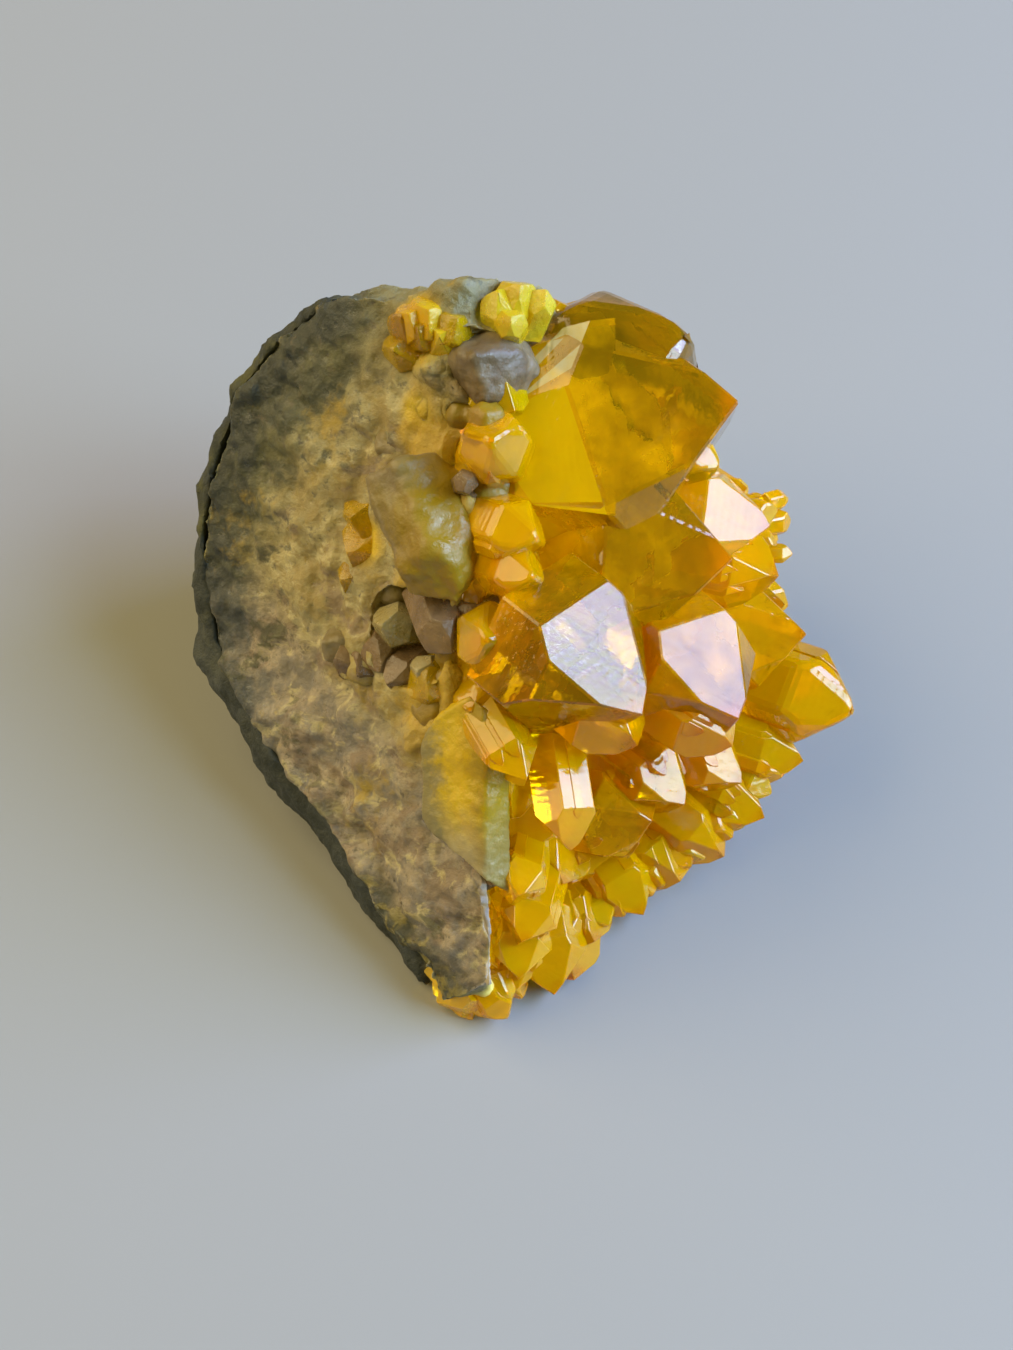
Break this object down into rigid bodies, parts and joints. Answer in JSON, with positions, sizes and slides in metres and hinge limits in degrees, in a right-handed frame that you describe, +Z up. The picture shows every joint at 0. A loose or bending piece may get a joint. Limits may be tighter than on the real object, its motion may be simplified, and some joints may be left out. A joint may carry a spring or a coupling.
{
  "type": "citrine cluster",
  "caption": "Half of a broken geode nodule: dark rock rind, thick milky quartz crust and a slope of yellow crystals. Decorative mineral specimen that rests on a flat cut base.",
  "frame": {"origin": "middle of the bottom of the cluster's box, on the flat base", "axes": "+Z up from the flat base; -Y faces the viewer, with the rock to the left and the crystals to the right; +X to the right"},
  "size_m": [0.0668, 0.0644, 0.052],
  "materials": {
    "basalt": "rough dark greenish-grey rock",
    "milky_quartz": "broken milky quartz, khaki to lilac-grey",
    "citrine": "glassy crystal faces, lemon at the roots and orange at the tips"
  },
  "bodies": {
    "root": {"basalt_rind": "basalt", "quartz_crust": "milky_quartz", "citrine_crystals": "citrine"}
  },
  "joints": []
}
